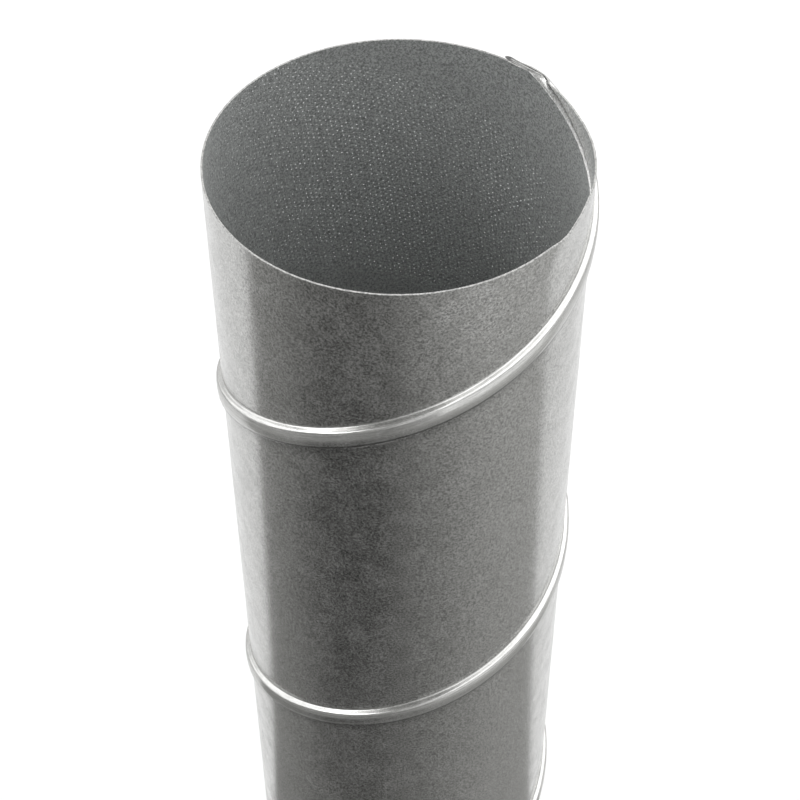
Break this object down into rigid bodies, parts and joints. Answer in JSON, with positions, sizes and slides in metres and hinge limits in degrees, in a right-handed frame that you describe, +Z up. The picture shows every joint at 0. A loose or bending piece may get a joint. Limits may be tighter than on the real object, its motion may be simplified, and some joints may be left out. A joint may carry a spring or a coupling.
{
  "type": "spiral duct section",
  "caption": "Round ventilation duct wound from galvanised steel strip, with a raised spiral lock seam outside and a smooth bore that takes push-in fittings.",
  "frame": {"origin": "centre of the bottom rim, where the duct stands on the floor", "axes": "+Z up along the duct's axis, -Y towards the front of the picture, +X to its right"},
  "size_m": [0.1042, 0.1042, 0.5],
  "materials": {
    "galvanised_steel": "galvanised sheet, satin grey with a fine dull spangle"
  },
  "bodies": {
    "root": {"spiral_duct": "galvanised_steel"}
  },
  "joints": []
}
